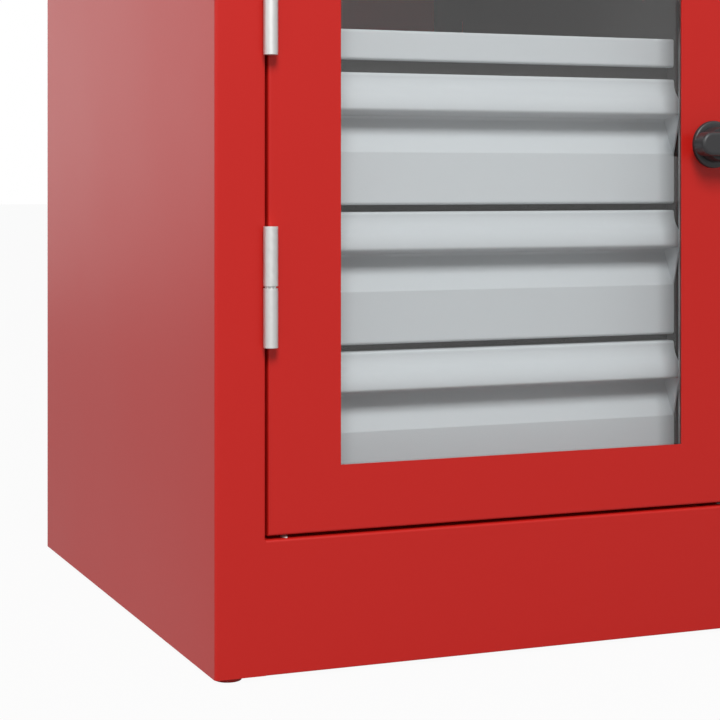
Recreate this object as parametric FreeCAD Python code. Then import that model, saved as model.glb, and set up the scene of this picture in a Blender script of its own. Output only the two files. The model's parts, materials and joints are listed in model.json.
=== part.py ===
import FreeCAD, Part

import math
import os

from FreeCAD import Vector

# Tool cabinet of folded sheet steel, in millimetres: one hinged door with a
# window, and three drawers on telescopic runners behind it.
# While it is drawn, x runs from the left face to the right, y from the front
# face to the back and z up from the floor. Each piece is moved into the part's
# own frame as it is saved: origin in the middle of the footprint, on the floor.

# ---- Carcass ----
cabinet_width = 540.0
cabinet_depth = 600.0
body_height = 796.0
foot_height = 4.0
sheet = 1.5                    # carcass and door sheet
bend = 1.0                     # inner radius of the folds
square_fold = 0.0              # small hidden folds are drawn square
stile_width = 42.2             # front posts left and right of the door
plinth_height = 109.5
header_height = 42.2
stop_lip = 14.8                # lip behind the door's edge
stop_gap = 1.0                 # between the door's back and the lip
low_stop_lip = 12.0            # the same lip on plinth and header
rear_flange = 22.0
bottom_flange = 30.0
panel_rim = 22.0               # folded rims of top and floor
rear_sheet = 1.5

# ---- Feet ----
foot_radius = 11.5
foot_inset = 16.0              # from both outer faces
stud_radius = 4.0
stud_length = 14.0
stud_clearance = 0.1
bracket_size = 26.0
bracket_thickness = 4.0
nut_across = 13.0
nut_height = 6.5

# ---- Wall fixing holes in the rear panel ----
wall_hole_radius = 4.5
wall_hole_spacing_x = 400.0
wall_hole_spacing_z = 500.0

# ---- Door ----
door_gap = 2.9
door_depth = 20.0
door_lip = 12.0
door_stile = 63.0              # width of the door's frame beside the window
door_rail = 54.2               # and above and below it
corner_relief = 2.2

# ---- Window ----
pane_thickness = 4.0
pane_overlap = 6.0
gasket_thickness = 1.0
gasket_inset = 1.0
gasket_width = 4.0
clamp_width = 12.0
clamp_thickness = 1.5
clamp_inset = 1.0              # of the clamp's edge from the window's edge
stud_from_pane = 3.0           # from the pane's edge to the stud's axis
pane_stud_radius = 2.0
pane_nut_across = 7.0
pane_nut_height = 3.2
pane_studs_across = 2          # along the top and bottom strips
pane_studs_up = 3              # along the side strips

# ---- Hinges ----
hinge_length = 98.3
hinge_centre = 313.85          # lower hinge, above the underside of the body
barrel_radius = 6.0
leaf_end_gap = 0.8             # between the leaf's end and the barrel's
axis_from_stile = 2.6          # hinge axis to the right of the stile's edge
axis_in_front = 6.5            # and in front of the cabinet's face
leaf_thickness = 2.0
leaf_depth = 16.0
pin_radius = 3.5
pin_clearance = 0.05
pin_reach = 32.0               # of the pin into each half
washer_thickness = 1.6
washer_radius = 4.9            # narrower than the barrels

# ---- Door buffers ----
buffer_width = 5.0
buffer_depth = 14.0
buffer_height = 2.4
buffer_from_edge = 12.0        # from the stile's edge

# ---- Door stiffener ----
hat_flange = 5.0
hat_width = 20.0
hat_depth = 15.0
hat_from_lip = 2.0
hat_end_gap = 24.0

# ---- Lock ----
rosette_radius = 21.0
rosette_thickness = 4.0
spindle_radius = 5.0
spindle_clearance = 0.1
spindle_overlap = 1.0           # of the spindle and square into their neighbours
spindle_hole_margin = 2.0      # of the hole in the door around the spindle
hub_radius = 16.0
hub_length = 10.0
wing_length = 56.0
wing_width = 21.0
wing_height = 15.0
wing_gap = 0.3                 # between the hub and the rosette
cylinder_radius = 7.0
cylinder_depth = 14.0
cylinder_clearance = 0.08
cylinder_end_gap = 0.2
keyway_width = 1.8
keyway_height = 7.5
keyway_depth = 6.0
lock_case_width = 36.0
lock_case_height = 78.0
lock_case_wall = 1.2
cam_thickness = 3.0
cam_end_margin = 3.5            # of the cam plate around its drive pins
cam_end_half = 4.5             # half width of the cam plate's ends
cam_waist = 9.0                # and at the spindle
cam_pin_circle = 12.0
cam_pin_radius = 2.0
cam_pin_play = 0.45
cam_pin_end_play = 0.3
cam_rod_gap = 0.5              # between the cam plate and the rods
cam_screw_across = 9.0
cam_screw_height = 2.5
cam_from_skin = 2.5
square_size = 7.0
square_clearance = 0.1
rod_width = 10.0
rod_thickness = 4.0
rod_offset = 10.5              # of each rod's middle from the spindle
rod_plate_inner = 5.6
rod_plate_outer = 16.6
rod_plate_margin = 4.0
rod_play = 0.4
rod_rest_inset = 2.0           # rod tip inside the door's edge when unlocked
guide_width = 16.0
guide_height = 12.0
guide_from_edge = 40.0
guide_from_lock = 75.0
guide_wall = 3.0               # of the guide behind the rod

# ---- Drawer housing ----
drawer_inset = 79.0            # drawer front's end from the cabinet's side face
front_end_gap = 1.5
liner_sheet = 1.5
liner_front = 45.0
liner_wing = 33.5
liner_rear_flange = 22.0
rail_height = 18.0
rail_depth = 15.0
rail_set_back = 14.5           # behind the drawers' face
slot_width = 5.0
slot_height = 12.0
slot_pitch = 75.0
slot_front = 120.0
slot_from_back = 80.0

# ---- Drawers ----
drawer_names = ["top", "middle", "bottom"]
drawer_face = 61.5             # behind the cabinet's face
front_height = 114.0
drawer_gap = 6.0               # between one front and the next
lowest_gap = 29.0              # between the plinth's top and the lowest front
front_sheet = 1.2
lip_reach = 12.0               # of the grip in front of the drawer's face
grip_start = 9.0               # of the grip's slope below the front's top
grip_end = 22.0                # and where it turns upright
lip_edge = 32.0                # lower edge of the grip
ogee_radius = 11.0
recess_reach = 16.0            # of the finger space behind the drawer's face
recess_top = 36.0
crease = 68.5
front_flange = 12.0
front_bend = 1.6
crease_radius = 3.0
cap_thickness = 2.0

tray_sheet = 1.0
tray_rear_gap = 23.0           # between the tray and the rear panel
tray_under_front = 12.0        # tray's underside above the front's lower edge
tray_below_top = 22.0
tray_gap = 0.3
tray_turn_drop = 6.0           # tray's slope starts below the finger space
tray_nose_drop = 4.0           # and ends below the crease
runner_space = 12.7

# ---- Runners ----
runner_height = 45.0
runner_sheet = 1.2
runner_play = 0.3
outer_depth = 9.6
outer_lip = 3.0
middle_depth = 6.6
middle_lip = 4.7
inner_lip = 4.7
runner_front_gap = 1.0
screw_radius = 2.0
screw_clearance = 0.1
screw_head_across = 7.0
screw_head_height = 2.2
screw_inset = 40.0

# ---- Shelf ----
shelf_edge = 27.0
shelf_above_drawers = 10.0
shelf_rim = 20.0
shelf_lip = 8.0
shelf_rear_gap = 4.0
shelf_face = 62.0
clip_width = 30.0
clip_reach = 12.0
clip_height = 18.0
clip_sheet = 1.5
clip_play = 0.4
clip_hook_reach = 1.5          # of the hook behind the liner

# ---- Worked out ----
base = foot_height
top = base + body_height
middle = cabinet_width / 2
back = cabinet_depth
plinth_top = base + plinth_height
header_bottom = top - header_height
stop_face = door_depth + stop_gap

door_left = stile_width + door_gap
door_right = cabinet_width - door_left
door_bottom = plinth_top + door_gap
door_top = header_bottom - door_gap
door_middle = (door_bottom + door_top) / 2
window_left = door_left + door_stile
window_right = cabinet_width - window_left
window_bottom = door_bottom + door_rail
window_top = door_top - door_rail
pane_front = sheet + gasket_thickness
pane_back = pane_front + pane_thickness

axis_x = stile_width + axis_from_stile
axis_y = -axis_in_front
hinge_reach = axis_in_front + barrel_radius
handle_reach = rosette_thickness + wing_gap + hub_length + wing_height
front_reach = max(handle_reach, hinge_reach)

lock_x = (window_right + clamp_inset + clamp_width + door_right - door_lip) / 2
lock_z = door_middle
cam_front = sheet + cam_from_skin
rod_front = cam_front + cam_thickness + cam_rod_gap
cam_drop = cam_pin_circle * math.sin(math.radians(45))
rod_stroke = 2 * cam_drop

rear_inner = back - sheet - rear_sheet
liner_inner = drawer_inset - front_end_gap
tray_left = liner_inner + runner_space
tray_right = cabinet_width - tray_left
front_left = drawer_inset
front_right = cabinet_width - drawer_inset
recess_back = drawer_face + recess_reach + front_sheet
tray_front = recess_back + tray_gap
tray_back = rear_inner - tray_rear_gap
slot_rear = back - slot_from_back
drawer_pitch = front_height + drawer_gap
top_drawer_top = plinth_top + lowest_gap + len(drawer_names) * drawer_pitch - drawer_gap
front_inside = drawer_face + front_sheet
rail_front = drawer_face + rail_set_back
shelf_top = top_drawer_top + shelf_above_drawers + shelf_edge

origin = Vector(middle, (cabinet_depth - front_reach) / 2, 0)
along_normal = {"xy": Vector(0, 0, 1), "yz": Vector(1, 0, 0), "xz": Vector(0, 1, 0)}
tiny = 1e-6


# ---- Drawing helpers ----
def in_space(plane, point, level):
    """Place a point of a drawing plane at a level along the plane's normal."""
    u, v = point
    return {"xy": Vector(u, v, level), "yz": Vector(level, u, v), "xz": Vector(u, level, v)}[plane]


def unit(start, end):
    length = math.dist(start, end)
    return ((end[0] - start[0]) / length, (end[1] - start[1]) / length)


def turn_at(before, corner, after):
    """Signed turn of a path at a corner, positive to the left."""
    a = unit(before, corner)
    b = unit(corner, after)
    return math.atan2(a[0] * b[1] - a[1] * b[0], a[0] * b[0] + a[1] * b[1])


def offset_path(points, distance):
    """Open path moved to its left by a distance, with mitred corners."""
    moved = []
    for index, point in enumerate(points):
        before = points[max(index - 1, 0)]
        after = points[min(index + 1, len(points) - 1)]
        a = unit(before, point) if index > 0 else unit(point, after)
        b = unit(point, after) if index < len(points) - 1 else a
        normal = (-a[1] - b[1], a[0] + b[0])
        scale = distance / (1 + a[0] * b[0] + a[1] * b[1])
        moved.append((point[0] + normal[0] * scale, point[1] + normal[1] * scale))
    return moved


def rounded_edges(points, radii, plane, level):
    """Edges of an open path whose inner corners have the given radii."""
    edges = []
    start = points[0]

    def add_line(end):
        if math.dist(start, end) > tiny:
            line = Part.LineSegment(in_space(plane, start, level), in_space(plane, end, level))
            edges.append(line.toShape())

    for before, corner, after, radius in zip(points, points[1:], points[2:], radii):
        turn = abs(turn_at(before, corner, after))
        if radius < tiny or turn < tiny:
            add_line(corner)
            start = corner
            continue
        to_before = unit(corner, before)
        to_after = unit(corner, after)
        setback = radius * math.tan(turn / 2)
        enter = (corner[0] + to_before[0] * setback, corner[1] + to_before[1] * setback)
        leave = (corner[0] + to_after[0] * setback, corner[1] + to_after[1] * setback)
        inward = (to_before[0] + to_after[0], to_before[1] + to_after[1])
        sagitta = radius / math.cos(turn / 2) - radius
        size = math.hypot(*inward)
        crown = (corner[0] + inward[0] / size * sagitta, corner[1] + inward[1] / size * sagitta)
        add_line(enter)
        arc = Part.Arc(*(in_space(plane, point, level) for point in (enter, crown, leave)))
        edges.append(arc.toShape())
        start = leave
    add_line(points[-1])
    return edges


def folded(points, thickness, plane, start, end, radii=bend):
    """Sheet folded along a path and extruded; negative thickness lies to the right."""
    if not isinstance(radii, list):
        radii = [radii] * (len(points) - 2)
    gauge = abs(thickness)
    left = thickness > 0
    near = []
    far = []
    for before, corner, after, radius in zip(points, points[1:], points[2:], radii):
        outside = radius + gauge if radius > 0 else 0
        inner_is_far = (turn_at(before, corner, after) > 0) == left
        near.append(outside if inner_is_far else radius)
        far.append(radius if inner_is_far else outside)
    other = offset_path(points, thickness)
    edges = rounded_edges(points, near, plane, start)
    edges += rounded_edges(other, far, plane, start)
    for ends in ((points[0], other[0]), (points[-1], other[-1])):
        edges.append(Part.LineSegment(*(in_space(plane, end_point, start) for end_point in ends)).toShape())
    face = Part.Face(Part.Wire(Part.__sortEdges__(edges)))
    return face.extrude(along_normal[plane] * (end - start))


def prism(points, plane, start, end):
    """Closed outline extruded between two levels."""
    corners = [in_space(plane, point, start) for point in points]
    face = Part.Face(Part.makePolygon(corners + corners[:1]))
    return face.extrude(along_normal[plane] * (end - start))


def block(x0, x1, y0, y1, z0, z1):
    return Part.makeBox(x1 - x0, y1 - y0, z1 - z0, Vector(x0, y0, z0))


def disc(radius, plane, centre, start, end):
    direction = along_normal[plane] * (1 if end > start else -1)
    return Part.makeCylinder(radius, abs(end - start), in_space(plane, centre, start), direction)


def bar(radius, sides, plane, centre, start, end):
    """Regular bar, its radius measured to the corners."""
    angles = [2 * math.pi * step / sides for step in range(sides)]
    corners = [(centre[0] + radius * math.cos(a), centre[1] + radius * math.sin(a)) for a in angles]
    return prism(corners, plane, start, end)


def hexagon(across, plane, centre, start, end):
    return bar(across / math.sqrt(3), 6, plane, centre, start, end)


def shank(radius, plane, centre, start, end):
    """Small screw, stud or the hole for one, drawn plainly with six sides."""
    return bar(radius, 6, plane, centre, start, end)


def joined(shapes):
    return shapes[0].fuse(shapes[1:]).removeSplitter() if len(shapes) > 1 else shapes[0]


def without(shape, cutters):
    return shape.cut(cutters)


def mirrored(shape):
    """The same piece on the other side of the cabinet's middle."""
    return shape.mirror(Vector(middle, 0, 0), Vector(1, 0, 0))


def both_sides(shape):
    return [shape, mirrored(shape)]


def round_edges(shape, radius, chosen):
    edges = [edge for edge in shape.Edges if chosen(edge.BoundBox)]
    return shape.makeFillet(radius, edges)


def save(name, pieces):
    """Write one node: a single piece, or a group of separate ones."""
    solids = []
    for piece in pieces if isinstance(pieces, list) else [pieces]:
        solids += piece.Solids
    shape = Part.makeCompound(solids) if len(solids) > 1 else solids[0]
    shape.translate(-origin)
    shape.exportStep(f"parts/{name}.step")


# ---- Carcass ----
def rod_slot(side, z0, z1):
    """Clearance cut for the locking rod that passes a fold."""
    x = lock_x + side * rod_offset
    half = rod_width / 2 + rod_play
    return block(x - half, x + half, rod_front - rod_play, rod_front + rod_thickness + rod_play, z0, z1)


def make_side_panel():
    plain = [(rear_flange, back), (0, back), (0, 0), (stile_width, 0)]
    rebate = plain + [(stile_width, stop_face), (stile_width + stop_lip, stop_face)]
    shell = joined([
        folded(plain, sheet, "xy", base, plinth_top),
        folded(rebate, sheet, "xy", plinth_top, header_bottom),
        folded(plain, sheet, "xy", header_bottom, top),
        block(sheet, bottom_flange, sheet, rear_inner, base, base + sheet),
    ])
    lip = (stile_width, stile_width + stop_lip + sheet, stop_face - tiny, stop_face + 2 * sheet)
    cutters = [
        block(*lip, plinth_top - sheet, plinth_top + low_stop_lip),
        block(*lip, header_bottom - low_stop_lip, header_bottom + sheet),
    ]
    stud_hole = stud_radius + stud_clearance
    for y in (foot_inset, back - foot_inset):
        cutters.append(shank(stud_hole, "xy", (foot_inset, y), base - sheet, base + 2 * sheet))
    return without(shell, cutters)


def make_plinth():
    path = [(bottom_flange, base), (0, base), (0, plinth_top), (stop_face, plinth_top)]
    path.append((stop_face, plinth_top + low_stop_lip))
    radii = [square_fold, bend, square_fold]
    panel = folded(path, -sheet, "yz", stile_width, cabinet_width - stile_width, radii)
    return without(panel, [rod_slot(-1, plinth_top - 2 * sheet, plinth_top + sheet)])


def make_header():
    path = [(0, top), (0, header_bottom), (stop_face, header_bottom)]
    path.append((stop_face, header_bottom - low_stop_lip))
    radii = [bend, square_fold]
    panel = folded(path, sheet, "yz", stile_width, cabinet_width - stile_width, radii)
    return without(panel, [rod_slot(1, header_bottom - sheet, header_bottom + 2 * sheet)])


def make_pan(x0, x1, y0, y1, z_face, z_rim, gauge):
    """Flat panel with a rim folded down from all four edges, its corners cut for the posts' folds."""
    outer = block(x0, x1, y0, y1, z_rim, z_face)
    outer = round_edges(outer, bend + gauge, lambda box: box.ZMin > z_face - tiny)
    level = z_face - gauge
    inner = block(x0 + gauge, x1 - gauge, y0 + gauge, y1 - gauge, z_rim - gauge, level)
    inner = round_edges(inner, bend, lambda box: box.ZMin > level - tiny)
    cutters = [inner]
    for x, inward in ((x0, 1), (x1, -1)):
        for y, rearward in ((y0, 1), (y1, -1)):
            corner = (x - inward * gauge, y - rearward * gauge)
            leg = bend + 2 * gauge
            cut = [corner, (corner[0] + inward * leg, corner[1]), (corner[0], corner[1] + rearward * leg)]
            cutters.append(prism(cut, "xy", z_rim - gauge, z_face + gauge))
    return without(outer, cutters)


def make_rear_panel():
    left = sheet + bend
    panel = block(left, cabinet_width - left, rear_inner, back - sheet, base, top)
    centre_z = base + body_height / 2
    holes = []
    for side in (-1, 1):
        for level in (-1, 1):
            spot = (middle + side * wall_hole_spacing_x / 2, centre_z + level * wall_hole_spacing_z / 2)
            holes.append(disc(wall_hole_radius, "xz", spot, rear_inner - sheet, back))
    return without(panel, holes)


def foot_spots():
    return [(x, y) for x in (foot_inset, cabinet_width - foot_inset) for y in (foot_inset, back - foot_inset)]


def make_foot(spot):
    pad = disc(foot_radius, "xy", spot, 0, base)
    return joined([pad, shank(stud_radius, "xy", spot, base, base + stud_length)])


def make_foot_bracket(spot):
    x, y = spot
    low = base + sheet
    seat = low + bracket_thickness
    half = bracket_size / 2
    plate = block(x - half, x + half, y - half, y + half, low, seat)
    nut = hexagon(nut_across, "xy", spot, seat, seat + nut_height)
    bore = shank(stud_radius + stud_clearance, "xy", spot, base, seat + 2 * nut_height)
    return without(joined([plate, nut]), [bore])


def make_buffer(x):
    half = buffer_width / 2
    front = 2 * sheet
    return block(x - half, x + half, front, front + buffer_depth, plinth_top, plinth_top + buffer_height)


# ---- Hinges ----
def hinge_levels():
    low = base + hinge_centre
    return [low, 2 * door_middle - low]


def barrel(z0, z1):
    return disc(barrel_radius, "xy", (axis_x, axis_y), z0, z1)


def make_frame_leaf(level):
    z0 = level - hinge_length / 2
    z1 = level - washer_thickness / 2
    tube = barrel(z0, z1)
    plate = block(stile_width, stile_width + leaf_thickness, axis_y, leaf_depth, z0 + leaf_end_gap, z1)
    bore = disc(pin_radius, "xy", (axis_x, axis_y), z1 - pin_reach, z1 + washer_thickness)
    return without(joined([tube, plate]), [bore])


def make_door_leaf(level):
    z0 = level + washer_thickness / 2
    z1 = level + hinge_length / 2
    tube = barrel(z0, z1)
    plate = block(door_left - leaf_thickness, door_left, axis_y, leaf_depth, z0, z1 - leaf_end_gap)
    loose = pin_radius + pin_clearance
    bore = disc(loose, "xy", (axis_x, axis_y), z0 - washer_thickness, z0 + pin_reach + leaf_end_gap)
    return without(joined([tube, plate]), [bore])


def make_hinge_pin(level):
    reach = washer_thickness / 2 + pin_reach
    return disc(pin_radius, "xy", (axis_x, axis_y), level - reach, level + reach)


def make_washer(level):
    axis = (axis_x, axis_y)
    half = washer_thickness / 2
    ring = bar(washer_radius, 12, "xy", axis, level - half, level + half)
    bore = disc(pin_radius + pin_clearance, "xy", axis, level - washer_thickness, level + washer_thickness)
    return without(ring, [bore])


# ---- Door ----
def make_door_panel():
    outer = block(door_left, door_right, 0, door_depth, door_bottom, door_top)
    outer = round_edges(outer, bend + sheet, lambda box: box.YMax < tiny)
    x0, x1 = door_left + sheet, door_right - sheet
    z0, z1 = door_bottom + sheet, door_top - sheet
    cavity = block(x0, x1, sheet, door_depth - sheet, z0, z1)
    cavity = round_edges(cavity, bend, lambda box: box.YMax < sheet + tiny)
    x0, x1 = door_left + door_lip, door_right - door_lip
    z0, z1 = door_bottom + door_lip, door_top - door_lip
    opening = block(x0, x1, door_depth / 2, door_depth + sheet, z0, z1)
    cutters = [
        cavity,
        opening,
        block(window_left, window_right, -sheet, door_depth, window_bottom, window_top),
        disc(spindle_radius + spindle_hole_margin, "xz", (lock_x, lock_z), -sheet, 2 * sheet),
        rod_slot(1, door_top - 2 * sheet, door_top + sheet),
        rod_slot(-1, door_bottom - sheet, door_bottom + 2 * sheet),
    ]
    relief = corner_relief
    for x in (door_left, door_right):
        for z in (door_bottom, door_top):
            cutters.append(block(x - relief, x + relief, -sheet, bend + sheet, z - relief, z + relief))
    return without(outer, cutters)


def frame_ring(inset_out, width, y0, y1):
    """Flat ring around the window, its outer edge set back from the pane's."""
    x0 = window_left - pane_overlap + inset_out
    z0 = window_bottom - pane_overlap + inset_out
    x1 = window_right + pane_overlap - inset_out
    z1 = window_top + pane_overlap - inset_out
    outer = block(x0, x1, y0, y1, z0, z1)
    return outer.cut(block(x0 + width, x1 - width, y0 - sheet, y1 + sheet, z0 + width, z1 - width))


def make_pane():
    return block(window_left - pane_overlap, window_right + pane_overlap, pane_front, pane_back,
                 window_bottom - pane_overlap, window_top + pane_overlap)


def pane_stud_spots():
    reach = pane_overlap + stud_from_pane
    x0 = window_left - reach
    x1 = window_right + reach
    z0 = window_bottom - reach
    z1 = window_top + reach
    spots = []
    for step in range(pane_studs_across):
        x = window_left + (window_right - window_left) * (step + 0.5) / pane_studs_across
        spots += [(x, z0), (x, z1)]
    for step in range(pane_studs_up):
        z = window_bottom + (window_top - window_bottom) * (step + 0.5) / pane_studs_up
        spots += [(x0, z), (x1, z)]
    return spots


def make_clamp_strips():
    inner = clamp_inset
    outer = clamp_inset + clamp_width
    y = (pane_back, pane_back + clamp_thickness)
    strips = [
        block(window_left - outer, window_left - inner, *y, window_bottom - inner, window_top + inner),
        block(window_right + inner, window_right + outer, *y, window_bottom - inner, window_top + inner),
        block(window_left - outer, window_right + outer, *y, window_bottom - outer, window_bottom - inner),
        block(window_left - outer, window_right + outer, *y, window_top + inner, window_top + outer),
    ]
    radius = pane_stud_radius + screw_clearance
    holes = [shank(radius, "xz", spot, pane_front, 2 * pane_back) for spot in pane_stud_spots()]
    return [strip.cut(holes) for strip in strips]


def make_pane_fastener(spot):
    seat = pane_back + clamp_thickness
    stud = shank(pane_stud_radius, "xz", spot, sheet, seat)
    return joined([stud, hexagon(pane_nut_across, "xz", spot, seat, seat + pane_nut_height)])


def make_door_stiffener():
    x0 = door_left + door_lip + hat_from_lip
    x1 = x0 + hat_flange
    x2 = x1 + hat_width
    crown = sheet + hat_depth
    path = [(x0, sheet), (x1, sheet), (x1, crown), (x2, crown), (x2, sheet), (x2 + hat_flange, sheet)]
    return folded(path, sheet, "xy", door_bottom + hat_end_gap, door_top - hat_end_gap, square_fold)


# ---- Lock ----
def make_rosette():
    plate = disc(rosette_radius, "xz", (lock_x, lock_z), 0, -rosette_thickness)
    radius = spindle_radius + spindle_clearance
    return without(plate, [disc(radius, "xz", (lock_x, lock_z), sheet, -2 * rosette_thickness)])


def spindle_square(half, y0, y1):
    return block(lock_x - half, lock_x + half, y0, y1, lock_z - half, lock_z + half)


def make_handle():
    """Wing with rounded ends on a round hub, and the spindle down to the cam."""
    back_face = -rosette_thickness - wing_gap
    hub_front = back_face - hub_length
    front = hub_front - wing_height
    spot = (lock_x, lock_z)
    hub = disc(hub_radius, "xz", spot, hub_front, back_face)
    end = wing_width / 2
    half = wing_length / 2 - end
    wing = joined([
        block(lock_x - half, lock_x + half, front, hub_front, lock_z - end, lock_z + end),
        disc(end, "xz", (lock_x - half, lock_z), front, hub_front),
        disc(end, "xz", (lock_x + half, lock_z), front, hub_front),
    ])
    shaft = disc(spindle_radius, "xz", spot, back_face - spindle_overlap, cam_front)
    square = spindle_square(square_size / 2, cam_front - spindle_overlap, cam_front + cam_thickness)
    bore = disc(cylinder_radius + cylinder_clearance, "xz", spot, front - sheet, front + cylinder_depth)
    return without(joined([hub, wing, shaft, square]), [bore])


def make_lock_cylinder():
    depth = cylinder_depth - cylinder_end_gap
    plug = disc(cylinder_radius, "xz", (lock_x, lock_z), -handle_reach, depth - handle_reach)
    half_x = keyway_width / 2
    half_z = keyway_height / 2
    y = (-handle_reach - sheet, keyway_depth - handle_reach)
    keyway = block(lock_x - half_x, lock_x + half_x, *y, lock_z - half_z, lock_z + half_z)
    return without(plug, [keyway])


def make_lock_cam():
    """Slanted plate with two drive pins that stand in the rods' slots."""
    cam_back = cam_front + cam_thickness
    reach = cam_pin_circle + cam_end_margin
    outline = []
    for along, across in ((reach, cam_end_half), (0, cam_waist), (-reach, cam_end_half)):
        outline.append((along, across))
    outline += [(-along, -across) for along, across in outline]
    slant = math.sqrt(0.5)
    corners = [(lock_x + (a + b) * slant, lock_z + (b - a) * slant) for a, b in outline]
    plate = prism(corners, "xz", cam_front, cam_back)
    pins = []
    pin_y = (cam_front + spindle_overlap, rod_front + rod_thickness)
    for side in (-1, 1):
        pin_spot = (lock_x + side * cam_drop, lock_z - side * cam_drop)
        pins.append(disc(cam_pin_radius, "xz", pin_spot, *pin_y))
    half = (square_size + square_clearance) / 2
    hole = spindle_square(half, cam_front - sheet, cam_back + sheet)
    return without(joined([plate] + pins), [hole])


def make_cam_screw():
    start = cam_front + cam_thickness
    return hexagon(cam_screw_across, "xz", (lock_x, lock_z), start, start + cam_screw_height)


def make_lock_case():
    wall = lock_case_wall
    x0, x1 = lock_x - lock_case_width / 2, lock_x + lock_case_width / 2
    low, high = lock_z - lock_case_height / 2, lock_z + lock_case_height / 2
    shell = block(x0, x1, sheet, door_depth, low, high)
    hollow = block(x0 + wall, x1 - wall, 0, door_depth - wall, low + wall, high - wall)
    upper_slot = rod_slot(1, high - 2 * wall, high + wall)
    lower_slot = rod_slot(-1, low - wall, low + 2 * wall)
    return without(shell, [hollow, upper_slot, lower_slot])


def make_rod(side):
    """Flat rod with a slotted plate on the cam; side 1 is the upper rod."""
    x = lock_x + side * rod_offset
    pin_z = lock_z - side * cam_drop
    margin = cam_pin_radius + cam_pin_play + rod_plate_margin
    tip = door_top - rod_rest_inset if side > 0 else door_bottom + rod_rest_inset
    y = (rod_front, rod_front + rod_thickness)
    x_plate = sorted((lock_x + side * rod_plate_inner, lock_x + side * rod_plate_outer))
    plate = block(*x_plate, *y, pin_z - margin, pin_z + margin)
    strip = block(x - rod_width / 2, x + rod_width / 2, *y, *sorted((pin_z, tip)))
    reach = cam_pin_radius + cam_pin_end_play
    x_slot = sorted((lock_x + side * (cam_drop - reach), lock_x + side * (cam_pin_circle + reach)))
    half = cam_pin_radius + cam_pin_play
    slot = block(*x_slot, y[0] - sheet, y[1] + sheet, pin_z - half, pin_z + half)
    return without(joined([plate, strip]), [slot])


def make_rod_guide(side, z):
    x = lock_x + side * rod_offset
    half_x = guide_width / 2
    half_z = guide_height / 2
    rear = rod_front + rod_thickness + guide_wall
    body = block(x - half_x, x + half_x, sheet, rear, z - half_z, z + half_z)
    return without(body, [rod_slot(side, z - guide_height, z + guide_height)])


# ---- Drawer housing and shelf ----
def drawer_top(index):
    return top_drawer_top - index * drawer_pitch


def runner_level(index):
    """Height of the middle of a drawer's runners."""
    low = drawer_top(index) - front_height + tray_under_front
    return (low + drawer_top(index) - tray_below_top) / 2


def runner_ends():
    return tray_front + runner_front_gap, tray_back


def screw_spots():
    """Screws that hold the fixed runners, as y and z."""
    front, rear = runner_ends()
    return [(y, runner_level(index)) for index in range(len(drawer_names))
            for y in (front + screw_inset, rear - screw_inset)]


def slot_levels():
    ledge = shelf_top - shelf_rim - clip_height / 2
    levels = []
    while ledge < header_bottom - slot_height:
        levels.append(ledge)
        ledge += slot_pitch
    return levels


def make_liner():
    path = [(liner_inner - liner_wing, liner_front), (liner_inner, liner_front), (liner_inner, rear_inner)]
    path.append((liner_inner - liner_rear_flange, rear_inner))
    wall = folded(path, liner_sheet, "xy", plinth_top, header_bottom, square_fold)
    x = (liner_inner - 2 * liner_sheet, liner_inner + liner_sheet)
    cutters = [shank(screw_radius + screw_clearance, "yz", spot, *x) for spot in screw_spots()]
    half_y = slot_width / 2
    half_z = slot_height / 2
    for y in (slot_front, slot_rear):
        for z in slot_levels():
            cutters.append(block(*x, y - half_y, y + half_y, z - half_z, z + half_z))
    return without(wall, cutters)


def make_tie_rail(z0, z1):
    rear = rail_front + rail_depth
    path = [(rear, z0), (rail_front, z0), (rail_front, z1), (rear, z1)]
    return folded(path, -liner_sheet, "yz", liner_inner, cabinet_width - liner_inner, square_fold)


def tie_rails():
    rails = []
    for index in range(len(drawer_names)):
        centre = drawer_top(index) + drawer_gap / 2
        rails.append(make_tie_rail(centre - rail_height / 2, centre + rail_height / 2))
    last = drawer_top(len(drawer_names) - 1) - front_height
    rails.append(make_tie_rail(plinth_top, last + rail_height / 2 - drawer_gap / 2))
    return rails


def make_shelf():
    left = front_left
    right = front_right
    rear = rear_inner - shelf_rear_gap
    lip_end = shelf_face + shelf_lip
    low = shelf_top - shelf_edge
    path = [(lip_end, low), (shelf_face, low), (shelf_face, shelf_top), (rear, shelf_top)]
    path.append((rear, shelf_top - shelf_rim))
    top_sheet = folded(path, -liner_sheet, "yz", left, right, [square_fold, bend, square_fold])
    rim_end = rear - 2 * bend - liner_sheet
    z = (shelf_top - shelf_rim, shelf_top - liner_sheet)
    rim = block(left, left + liner_sheet, lip_end, rim_end, *z)
    return joined([top_sheet, rim, mirrored(rim)])


def make_shelf_clip(y):
    ledge = shelf_top - shelf_rim
    path = [(liner_inner, ledge - clip_height), (liner_inner, ledge), (liner_inner + clip_reach, ledge)]
    bracket = folded(path, -clip_sheet, "xz", y - clip_width / 2, y + clip_width / 2, square_fold)
    half_y = slot_width / 2 - clip_play
    half_z = slot_height / 2 - clip_play
    z = ledge - clip_height / 2
    x = (liner_inner - liner_sheet - clip_hook_reach, liner_inner + clip_sheet / 2)
    hook = block(*x, y - half_y, y + half_y, z - half_z, z + half_z)
    return joined([bracket, hook])


# ---- Runners: three channels, one inside the other ----
def outer_section(z):
    half = runner_height / 2
    x0 = liner_inner
    x1 = liner_inner + outer_depth
    path = [(x1, z + half - outer_lip), (x1, z + half), (x0, z + half), (x0, z - half), (x1, z - half)]
    path.append((x1, z - half + outer_lip))
    return path


def middle_half():
    return runner_height / 2 - runner_sheet - runner_play


def middle_section(z):
    half = middle_half()
    x0 = liner_inner + runner_sheet + runner_play
    x1 = x0 + middle_depth
    path = [(x1, z + half - middle_lip), (x1, z + half), (x0, z + half), (x0, z - half), (x1, z - half)]
    path.append((x1, z - half + middle_lip))
    return path


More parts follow.
